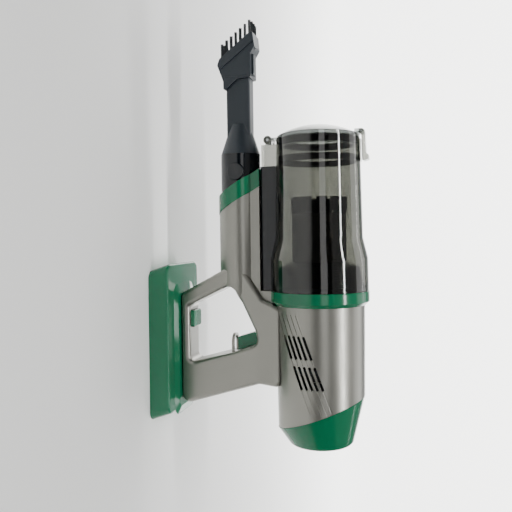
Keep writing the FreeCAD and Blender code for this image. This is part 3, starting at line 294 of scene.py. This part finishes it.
def grow(tree, mesh, values):
    """Runs a tree on a mesh and returns the result as a plain mesh."""
    carrier = bpy.data.objects.new(tree.name + "_carrier", mesh)
    bpy.context.scene.collection.objects.link(carrier)
    modifier = carrier.modifiers.new("grow", "NODES")
    modifier.node_group = tree
    for item in tree.interface.items_tree:
        if item.in_out == "INPUT" and item.name in values:
            modifier[item.identifier] = values[item.name]
    bpy.context.view_layer.update()
    seen = carrier.evaluated_get(bpy.context.evaluated_depsgraph_get())
    result = bpy.data.meshes.new_from_object(seen)
    bpy.data.objects.remove(carrier)
    return result


def smooth(mesh, angle=35):
    """Smooth shading, with edges sharper than the angle (degrees) kept crisp."""
    mesh.shade_smooth()
    mesh.set_sharp_from_angle(angle=math.radians(angle))
    return mesh


def lathe(profile, steps, axis_z, closed=True):
    """Mesh turned about the X direction; profile is (x, radius), closed on itself or not."""
    mesh = bmesh.new()
    rings = []
    for step in range(steps):
        angle = math.tau * step / steps
        rings.append([mesh.verts.new((x, r * math.sin(angle), axis_z + r * math.cos(angle)))
                      for x, r in profile])
    count = len(profile)
    spans = count if closed else count - 1
    for step in range(steps):
        here, there = rings[step], rings[(step + 1) % steps]
        for i in range(spans):
            j = (i + 1) % count
            mesh.faces.new((here[i], here[j], there[j], there[i]))
    bmesh.ops.remove_doubles(mesh, verts=mesh.verts, dist=1e-7)
    bmesh.ops.recalc_face_normals(mesh, faces=mesh.faces)
    result = bpy.data.meshes.new("turned")
    mesh.to_mesh(result)
    mesh.free()
    return result


def thicken(mesh, thickness):
    """Gives a sheet its thickness, inwards and outwards evenly."""
    obj = bpy.data.objects.new("thickening", mesh)
    bpy.context.scene.collection.objects.link(obj)
    wall = obj.modifiers.new("wall", "SOLIDIFY")
    wall.thickness = thickness
    wall.offset = 0.0
    bpy.context.view_layer.update()
    seen = obj.evaluated_get(bpy.context.evaluated_depsgraph_get())
    result = bpy.data.meshes.new_from_object(seen)
    bpy.data.objects.remove(obj)
    return result


# -------------------------------------------------------------------- brush tufts
def bristle_tree():
    """Tufts of tapered fibres: one tuft on each root point, pointing along -X."""
    tree, size = sized_tree("bristle_tufts", [
        ("Fibres", "Int"), ("Tuft radius", "Float"), ("Fibre radius", "Float"),
        ("Fibre length", "Float"), ("Splay", "Float"), ("Seed", "Int")])
    reach = add(tree, "FunctionNodeRandomValue", {"Min": 0.0, "Max": 1.0, "Seed": size["Seed"]},
                data_type="FLOAT")
    turn = add(tree, "FunctionNodeRandomValue", {2: 0.0, 3: math.tau, "Seed": 7}, data_type="FLOAT")
    root_of = add(tree, "ShaderNodeMath", {0: reach.outputs[1]}, operation="SQRT")
    radius = add(tree, "ShaderNodeMath", {0: root_of.outputs[0], 1: size["Tuft radius"]},
                 operation="MULTIPLY")
    cosine = add(tree, "ShaderNodeMath", {0: turn.outputs[1]}, operation="COSINE")
    sine = add(tree, "ShaderNodeMath", {0: turn.outputs[1]}, operation="SINE")
    across = add(tree, "ShaderNodeMath", {0: radius.outputs[0], 1: cosine.outputs[0]},
                 operation="MULTIPLY")
    upward = add(tree, "ShaderNodeMath", {0: radius.outputs[0], 1: sine.outputs[0]},
                 operation="MULTIPLY")
    spot = add(tree, "ShaderNodeCombineXYZ", {"Y": across.outputs[0], "Z": upward.outputs[0]})
    bundle = add(tree, "GeometryNodePoints", {"Count": size["Fibres"],
                                              "Position": spot.outputs[0],
                                              "Radius": size["Fibre radius"]})
    fibre = add(tree, "GeometryNodeMeshCone", {"Vertices": 6, "Side Segments": 2,
                                               "Radius Bottom": size["Fibre radius"],
                                               "Depth": size["Fibre length"]})
    tip = add(tree, "ShaderNodeMath", {0: size["Fibre radius"], 1: 0.55}, operation="MULTIPLY")
    tree.links.new(tip.outputs[0], fibre.inputs["Radius Top"])
    laid = add(tree, "GeometryNodeTransform", {"Geometry": fibre.outputs["Mesh"],
                                               "Rotation": (0.0, math.radians(-90), 0.0)})
    lean_y = add(tree, "ShaderNodeMath", {0: across.outputs[0], 1: size["Splay"]},
                 operation="MULTIPLY")
    lean_z = add(tree, "ShaderNodeMath", {0: upward.outputs[0], 1: size["Splay"]},
                 operation="MULTIPLY")
    back_lean = add(tree, "ShaderNodeMath", {0: lean_y.outputs[0], 1: -1.0}, operation="MULTIPLY")
    lean = add(tree, "ShaderNodeCombineXYZ", {"Y": lean_z.outputs[0], "Z": back_lean.outputs[0]})
    uneven = add(tree, "FunctionNodeRandomValue", {2: 0.93, 3: 1.0, "Seed": 3}, data_type="FLOAT")
    stretch = add(tree, "ShaderNodeCombineXYZ", {"X": uneven.outputs[1], "Y": 1.0, "Z": 1.0})
    tuft = add(tree, "GeometryNodeInstanceOnPoints",
               {"Points": bundle.outputs[0], "Instance": laid.outputs[0],
                "Rotation": lean.outputs[0], "Scale": stretch.outputs[0]})
    one_tuft = add(tree, "GeometryNodeGeometryToInstance", {"Geometry": tuft.outputs[0]})
    spin = add(tree, "FunctionNodeRandomValue", {2: 0.0, 3: math.tau, "Seed": 11},
               data_type="FLOAT")
    spin_turn = add(tree, "ShaderNodeCombineXYZ", {"X": spin.outputs[1]})
    roots = add(tree, "GeometryNodeMeshToPoints", {"Mesh": size["Geometry"]})
    tufts = add(tree, "GeometryNodeInstanceOnPoints",
                {"Points": roots.outputs[0], "Instance": one_tuft.outputs[0],
                 "Rotation": spin_turn.outputs[0]})
    close_tree(tree, tufts.outputs[0], nylon_fibre)
    return tree


def bristles():
    """Tufts of nylon fibre, a little slimmer and shorter than their CAD solids."""
    tufts = islands("bristle_tufts")
    low, high = tufts[0]
    root_points = [Vector((b.x, (a.y + b.y) / 2, (a.z + b.z) / 2)) for a, b in tufts]
    mesh = grow(bristle_tree(), point_mesh("tuft_roots", root_points), {
        "Fibres": 110, "Tuft radius": (high.z - low.z) * 0.43, "Fibre radius": 0.19 * MM,
        "Fibre length": (high.x - low.x) * 0.995, "Splay": 5.0, "Seed": 5})
    piece("brush_bristles", smooth(mesh), "bristle", "brush", "bristle_tufts")


# --------------------------------------------------------------- perforated screen
def screen_tree():
    """Perforated sheet rolled into a tube about the X direction."""
    tree, size = sized_tree("perforated_tube", [
        ("Radius", "Float"), ("Length", "Float"), ("Middle X", "Float"), ("Axis Z", "Float"),
        ("Holes round", "Int"), ("Holes along", "Int"), ("Hole share", "Float")])
    girth = add(tree, "ShaderNodeMath", {0: size["Radius"], 1: math.tau}, operation="MULTIPLY")
    lines = [add(tree, "ShaderNodeMath", {0: size[label], 1: 1.0}, operation="ADD").outputs[0]
             for label in ("Holes round", "Holes along")]
    sheet = add(tree, "GeometryNodeMeshGrid",
                {"Size X": girth.outputs[0], "Size Y": size["Length"],
                 "Vertices X": lines[0], "Vertices Y": lines[1]})
    inset = add(tree, "GeometryNodeExtrudeMesh", {"Mesh": sheet.outputs["Mesh"],
                                                  "Offset Scale": 0.0, "Individual": True},
                mode="FACES")
    shrunk = add(tree, "GeometryNodeScaleElements",
                 {"Geometry": inset.outputs["Mesh"], "Selection": inset.outputs["Top"],
                  "Scale": size["Hole share"]})
    holed = add(tree, "GeometryNodeDeleteGeometry",
                {"Geometry": shrunk.outputs[0], "Selection": inset.outputs["Top"]}, domain="FACE")
    flat = add(tree, "ShaderNodeSeparateXYZ", {0: add(tree, "GeometryNodeInputPosition").outputs[0]})
    angle = add(tree, "ShaderNodeMath", {0: flat.outputs["X"], 1: size["Radius"]},
                operation="DIVIDE")
    wrap = []
    for turn in ("COSINE", "SINE"):
        share = add(tree, "ShaderNodeMath", {0: angle.outputs[0]}, operation=turn)
        wrap.append(add(tree, "ShaderNodeMath", {0: share.outputs[0], 1: size["Radius"]},
                        operation="MULTIPLY").outputs[0])
    along = add(tree, "ShaderNodeMath", {0: flat.outputs["Y"], 1: size["Middle X"]},
                operation="ADD")
    height = add(tree, "ShaderNodeMath", {0: wrap[0], 1: size["Axis Z"]}, operation="ADD")
    rolled = add(tree, "ShaderNodeCombineXYZ", {"X": along.outputs[0], "Y": wrap[1],
                                                "Z": height.outputs[0]})
    tube = add(tree, "GeometryNodeSetPosition", {"Geometry": holed.outputs[0],
                                                 "Position": rolled.outputs[0]})
    joined = add(tree, "GeometryNodeMergeByDistance", {"Geometry": tube.outputs[0],
                                                       "Distance": 0.01 * MM})
    close_tree(tree, joined.outputs[0], etched_screen)
    return tree


def perforated_screen():
    """Etched sheet, one row of holes each pitch, rolled to the CAD screen's size."""
    low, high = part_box("mesh_screen")
    wall = 0.4 * MM
    radius = (high.z - low.z) / 2 - wall
    pitch = 1.7 * MM          # coarser than a real screen, so that its holes show
    length = high.x - low.x
    mesh = grow(screen_tree(), point_mesh("screen_start", [(0, 0, 0)]), {
        "Radius": radius, "Length": length, "Middle X": (low.x + high.x) / 2,
        "Axis Z": (low.z + high.z) / 2, "Holes round": round(math.tau * radius / pitch),
        "Holes along": round(length / pitch), "Hole share": 0.62})
    mesh = thicken(mesh, wall)
    piece("perforated_screen", mesh, "dark_mesh", "filter_unit", "mesh_screen")


# ------------------------------------------------------------------- crown of the screen
def crown_ribs():
    """Three moulded ribs round the toothed crown, below its teeth."""
    low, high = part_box("screen_crown")
    axis_z = (low.z + high.z) / 2
    radius = (high.z - low.z) / 2
    first, pitch = 7.5 * MM, 3.6 * MM
    half, proud, sunk = 0.7 * MM, 0.6 * MM, 0.4 * MM
    for index in range(3):
        x = low.x + first + pitch * index
        rib = lathe([(x - half, radius - sunk), (x - half * 0.6, radius + proud * 0.8),
                     (x, radius + proud), (x + half * 0.6, radius + proud * 0.8),
                     (x + half, radius - sunk)], 96, axis_z)
        piece("crown_rib_%d" % (index + 1), smooth(rib, 60), "black_gloss", "filter_unit")


# ------------------------------------------------------------- pleated exhaust filter
def pleated_filter():
    """Ring of folded paper between two moulded rims."""
    low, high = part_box("exhaust_filter")
    axis_z = (low.z + high.z) / 2
    outer = (high.z - low.z) / 2
    inner = outer * 0.6
    rim = 2.5 * MM
    rim_edge, rim_overlap, paper_gap = 0.4 * MM, 1.5 * MM, 0.6 * MM
    folds = 46 * 2
    mesh = bmesh.new()
    rings = {}
    for key, x in (("front", low.x + rim), ("rear", high.x - rim)):
        ring = []
        for step in range(folds):
            angle = math.tau * step / folds
            radius = outer - paper_gap if step % 2 else inner
            ring.append(mesh.verts.new((x, radius * math.sin(angle),
                                        axis_z + radius * math.cos(angle))))
        rings[key] = ring
    for step in range(folds):
        after = (step + 1) % folds
        mesh.faces.new((rings["front"][step], rings["front"][after],
                        rings["rear"][after], rings["rear"][step]))
    bmesh.ops.recalc_face_normals(mesh, faces=mesh.faces)
    folded = bpy.data.meshes.new("pleats")
    mesh.to_mesh(folded)
    mesh.free()
    folded = thicken(folded, 0.5 * MM)
    piece("exhaust_filter_pleats", folded, "filter_paper", "main_body", "exhaust_filter")
    for name, x in (("front", low.x), ("rear", high.x - rim)):
        cap = lathe([(x, inner - rim_overlap), (x, outer - rim_edge), (x + rim_edge, outer),
                     (x + rim - rim_edge, outer), (x + rim, outer - rim_edge),
                     (x + rim, inner - rim_overlap)], 72, axis_z)
        piece("exhaust_filter_rim_" + name, smooth(cap), "black_inner", "main_body")


# ------------------------------------------------------------------------ springs
def pressed_spring(node_name, axis, away):
    """Compression spring with flat end turns, wound to the size of its CAD solid. The end that would
    stay put, the high end along the axis if away is above 0, else the low end, is worked out but not
    used."""
    low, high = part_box(node_name)
    sides = [i for i in range(3) if i != axis]
    wire = 0.14 * MM
    radius = (high[sides[0]] - low[sides[0]]) / 2 - wire
    middle = (low + high) / 2
    length = high[axis] - low[axis] - 2 * wire
    turns, steps, around = 4, 28, 8
    flat_end = 0.12           # share of the turns that lies flat at each end
    mesh = bmesh.new()
    rings = []
    for step in range(turns * steps + 1):
        share = step / (turns * steps)
        pitched = min(max((share - flat_end) / (1 - 2 * flat_end), 0.0), 1.0)
        angle = math.tau * turns * share
        ring = []
        for corner in range(around):
            tilt = math.tau * corner / around
            reach = radius + wire * math.cos(tilt)
            spot = [0.0, 0.0, 0.0]
            spot[sides[0]] = middle[sides[0]] + reach * math.cos(angle)
            spot[sides[1]] = middle[sides[1]] + reach * math.sin(angle)
            spot[axis] = low[axis] + wire + length * pitched + wire * math.sin(tilt)
            ring.append(mesh.verts.new(spot))
        rings.append(ring)
    for here, there in zip(rings, rings[1:]):
        for corner in range(around):
            after = (corner + 1) % around
            mesh.faces.new((here[corner], here[after], there[after], there[corner]))
    mesh.faces.new(rings[0])
    mesh.faces.new(rings[-1])
    bmesh.ops.recalc_face_normals(mesh, faces=mesh.faces)
    wound = bpy.data.meshes.new(node_name + "_wire")
    mesh.to_mesh(wound)
    mesh.free()
    spring = piece(node_name + "_wound", smooth(wound), "steel", "main_body", node_name)
    anchor = list(middle)
    anchor[axis] = high[axis] if away > 0 else low[axis]
    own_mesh(spring)


# ------------------------------------------------------------------------- screws
def pan_screw(radius, depth, shank_radius, shank_length):
    """Pan-head screw along +Z, head face at the origin, with a cross recess and a thread."""
    root = shank_radius * 0.8
    thread_start = depth * 1.25
    turns = 9
    pitch = (shank_length - depth * 1.5) / turns
    profile = [(0.0, 0.0), (radius * 0.55, 0.0), (radius * 0.85, depth * 0.12),
               (radius, depth * 0.42), (radius, depth), (shank_radius * 1.05, depth),
               (root, thread_start)]
    for turn in range(turns):
        z = thread_start + pitch * turn
        profile += [(root, z + pitch * 0.25), (shank_radius, z + pitch * 0.5),
                    (root, z + pitch * 0.75)]
    profile += [(shank_radius * 0.6, depth + shank_length - 0.3 * MM), (0.0, depth + shank_length)]
    mesh = lathe([(z, r) for r, z in profile], 20, 0.0, closed=False)
    mesh.transform(Matrix.Rotation(math.radians(-90), 4, "Y"))
    cross = bmesh.new()
    for long_x, long_y in ((0.62, 0.16), (0.16, 0.62)):
        arm = bmesh.ops.create_cube(cross, size=2.0)["verts"]
        bmesh.ops.scale(cross, vec=(radius * long_x, radius * long_y, depth * 0.55), verts=arm)
    cutter_mesh = bpy.data.meshes.new("recess")
    cross.to_mesh(cutter_mesh)
    cross.free()
    screw = bpy.data.objects.new("screw", mesh)
    cutter = bpy.data.objects.new("recess", cutter_mesh)
    for obj in (screw, cutter):
        bpy.context.scene.collection.objects.link(obj)
    recess = screw.modifiers.new("recess", "BOOLEAN")
    recess.operation = "DIFFERENCE"
    recess.solver = "EXACT"
    recess.use_self = True
    recess.object = cutter
    bpy.context.view_layer.update()
    seen = screw.evaluated_get(bpy.context.evaluated_depsgraph_get())
    result = bpy.data.meshes.new_from_object(seen)
    for obj in (screw, cutter):
        bpy.data.objects.remove(obj)
    return result


def scatter_tree(name):
    """One object on every point, turned the same way."""
    tree, size = sized_tree(name, [("Item", "Object"), ("Turn", "Rotation")])
    item = add(tree, "GeometryNodeObjectInfo", {"Object": size["Item"]})
    spots = add(tree, "GeometryNodeMeshToPoints", {"Mesh": size["Geometry"]})
    twist = add(tree, "FunctionNodeRandomValue", {2: 0.0, 3: math.tau, "Seed": 21},
                data_type="FLOAT")
    twist_turn = add(tree, "ShaderNodeCombineXYZ", {"Z": twist.outputs[1]})
    own = add(tree, "FunctionNodeEulerToRotation", {0: twist_turn.outputs[0]})
    aimed = add(tree, "FunctionNodeRotateRotation", {0: size["Turn"], 1: own.outputs[0]},
                rotation_space="LOCAL")
    placed = add(tree, "GeometryNodeInstanceOnPoints",
                 {"Points": spots.outputs[0], "Instance": item.outputs["Geometry"],
                  "Rotation": aimed.outputs[0]})
    close_tree(tree, placed.outputs[0], plated_steel)
    return tree


def screws(node_name, body, axis, turn):
    """Screws on the places of a CAD screw group; axis is the index they run along, and
    turn aims them from +Z."""
    boxes = islands(node_name)
    low, high = boxes[0]
    sides = [i for i in range(3) if i != axis]
    radius = (high[sides[0]] - low[sides[0]]) / 2
    length = high[axis] - low[axis]
    head = 2.0 * MM
    shank = pan_screw(radius, head, radius * 0.52, length - head)
    sample = bpy.data.objects.new(node_name + "_sample", shank)
    bpy.context.scene.collection.objects.link(sample)
    places = []
    for a, b in boxes:
        middle = (a + b) / 2
        middle[axis] = b[axis] if turn.x > 0 else a[axis]
        places.append(middle)
    mesh = grow(scatter_tree(node_name), point_mesh(node_name + "_spots", places),
                {"Item": sample, "Turn": turn})
    bpy.data.objects.remove(sample)
    piece(node_name + "_detail", smooth(mesh, 30), "steel", body, node_name)


# -------------------------------------------------------------- brush finger grip ribs
def grip_ribs():
    """Slanted ribs moulded on the brush head's shoulder, where a finger pushes it."""
    low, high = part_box("brush_head")
    count, first, pitch = 7, 3.5 * MM, 2.3 * MM
    rib_size = (0.8 * MM, 19 * MM, 0.9 * MM)
    slant, slope = math.radians(22), math.radians(8)
    foot_drop, top_drop = 2.35 * MM, 0.35 * MM
    slanted = Matrix.Rotation(slant, 3, "Z")
    tipped = Matrix.Rotation(-slope, 3, "Y")
    ribs = bmesh.new()
    for index in range(count):
        x = low.x + first + index * pitch
        bar = bmesh.ops.create_cube(ribs, size=1.0)["verts"]
        bmesh.ops.scale(ribs, vec=rib_size, verts=bar)
        bmesh.ops.rotate(ribs, cent=(0, 0, 0), matrix=slanted, verts=bar)
        bmesh.ops.rotate(ribs, cent=(0, 0, 0), matrix=tipped, verts=bar)
        z = high.z - foot_drop + (x - low.x) * math.tan(slope)
        bmesh.ops.translate(ribs, vec=(x, 0, min(z, high.z - top_drop)), verts=bar)
    edges = list(ribs.edges)
    bmesh.ops.bevel(ribs, geom=edges, offset=0.25 * MM, segments=2, affect="EDGES")
    mesh = bpy.data.meshes.new("grip_ribs")
    ribs.to_mesh(mesh)
    ribs.free()
    piece("brush_grip_ribs", smooth(mesh), "dark_matte", "brush")


# ------------------------------------------------------------------------- studio
def area_light(name, target, direction, distance, size, power):
    """Rectangular lamp at a distance (m) from its target, its long side along X."""
    lamp = bpy.data.lights.new(name, "AREA")
    lamp.shape = "RECTANGLE"
    lamp.size, lamp.size_y = size
    lamp.energy = power
    light = bpy.data.objects.new(name, lamp)
    aim = Vector(direction).normalized()
    light.location = Vector(target) + aim * distance
    side = aim.cross(Vector((1, 0, 0))).normalized()
    light.rotation_euler = Matrix((side.cross(aim), side, aim)).transposed().to_euler()
    bpy.context.scene.collection.objects.link(light)


def studio():
    """Seamless bowl of paper, pale behind and below and dark in front and above, with two
    strip lights along the object, a soft light from behind and above and a washed backdrop."""
    steps, floor_radius, bend, height = 96, 2.2, 1.2, 1.6
    bend_steps = 16
    profile = [(0.0, 0.0), (floor_radius, 0.0)]
    for step in range(1, bend_steps + 1):
        angle = math.radians(90) * step / bend_steps
        profile.append((floor_radius + bend * math.sin(angle), bend * (1 - math.cos(angle))))
    profile.append((floor_radius + bend, bend + height))
    mesh = bmesh.new()
    rings = []
    for step in range(steps):
        angle = math.tau * step / steps
        rings.append([mesh.verts.new((r * math.cos(angle), r * math.sin(angle), z))
                      for r, z in profile[1:]])
    centre = mesh.verts.new((0, 0, 0))
    for step in range(steps):
        here, there = rings[step], rings[(step + 1) % steps]
        mesh.faces.new((centre, here[0], there[0]))
        for i in range(len(here) - 1):
            mesh.faces.new((here[i], here[i + 1], there[i + 1], there[i]))
    bowl_mesh = bpy.data.meshes.new("studio_bowl")
    mesh.to_mesh(bowl_mesh)
    mesh.free()
    bowl_mesh.shade_smooth()
    bowl = bpy.data.objects.new("studio_bowl", bowl_mesh)
    bowl.location.z = cad_bounds[0][2] - 0.2 * MM
    bpy.context.scene.collection.objects.link(bowl)
    paper = bpy.data.materials.new("studio_paper")
    paper.use_nodes = True
    tree = paper.node_tree
    shader = tree.nodes["Principled BSDF"]
    shader.inputs["Roughness"].default_value = 0.9
    place = add(tree, "ShaderNodeTexCoord").outputs["Object"]
    where = add(tree, "ShaderNodeSeparateXYZ", {0: place})
    rear = add(tree, "ShaderNodeMapRange", {"Value": where.outputs["Y"], "From Min": -1.6,
                                            "From Max": -0.6})
    low = add(tree, "ShaderNodeMapRange", {"Value": where.outputs["Z"], "From Min": 1.25,
                                           "From Max": 0.9})
    pale = add(tree, "ShaderNodeMath", {0: rear.outputs["Result"], 1: low.outputs["Result"]},
               operation="MULTIPLY")
    tone = add(tree, "ShaderNodeMix", {0: pale.outputs[0], 6: linear("#424446"),
                                       7: linear("#fbfbf9")}, data_type="RGBA")
    tree.links.new(tone.outputs[2], shader.inputs["Base Color"])
    bowl_mesh.materials.append(paper)
    middle = [(a + b) / 2 for a, b in zip(*cad_bounds)]
    area_light("strip_overhead", middle, (0, -0.38, 0.92), 1.15, (1.5, 0.06), 12)
    area_light("strip_low", middle, (0, -0.93, 0.37), 1.5, (1.5, 0.4), 3)
    area_light("soft_top", middle, (0.1, 0.5, 0.9), 1.9, (1.6, 1.2), 8)
    back_wall = (middle[0], floor_radius + 0.6, 0.7)
    area_light("backdrop_wash", back_wall, (0, -0.8, 0.6), 2.0, (4.0, 1.2), 330)

    world = bpy.data.worlds.new("studio_air")
    world.use_nodes = True
    background = world.node_tree.nodes["Background"]
    background.inputs["Color"].default_value = linear("#fbfbfa")
    background.inputs["Strength"].default_value = 0.3
    bpy.context.scene.world = world


def camera():
    """Looks along +Y and 15 degrees down, with the nozzle at the top of the frame."""
    pitch, roll = math.radians(15), math.radians(0.81)
    right = Vector((0, math.sin(pitch), math.cos(pitch)))
    up = Vector((-1, 0, 0))
    back = Vector((0, -math.cos(pitch), math.sin(pitch)))
    lens = bpy.data.cameras.new("camera")
    lens.sensor_width = 36
    lens.lens = 44.3
    lens.shift_x = -0.002
    lens.shift_y = -0.043
    lens.clip_start = 0.02
    place = Vector((-0.125, -0.7035, 0.30365))
    view = bpy.data.objects.new("camera", lens)
    rolled_right = right * math.cos(roll) - up * math.sin(roll)
    rolled_up = up * math.cos(roll) + right * math.sin(roll)
    axes = Matrix((rolled_right, rolled_up, back)).transposed()
    view.matrix_world = Matrix.Translation(place) @ axes.to_4x4()
    bpy.context.scene.collection.objects.link(view)
    bpy.context.scene.camera = view


bristles()
perforated_screen()
crown_ribs()
pleated_filter()
pressed_spring("button_spring", 2, -1)
pressed_spring("trigger_spring", 0, 1)
screws("shell_screws", "main_body", 1, Vector((math.radians(90), 0, 0)))
screws("battery_screws", "battery_pack", 2, Vector((0, 0, 0)))
grip_ribs()
studio()
camera()
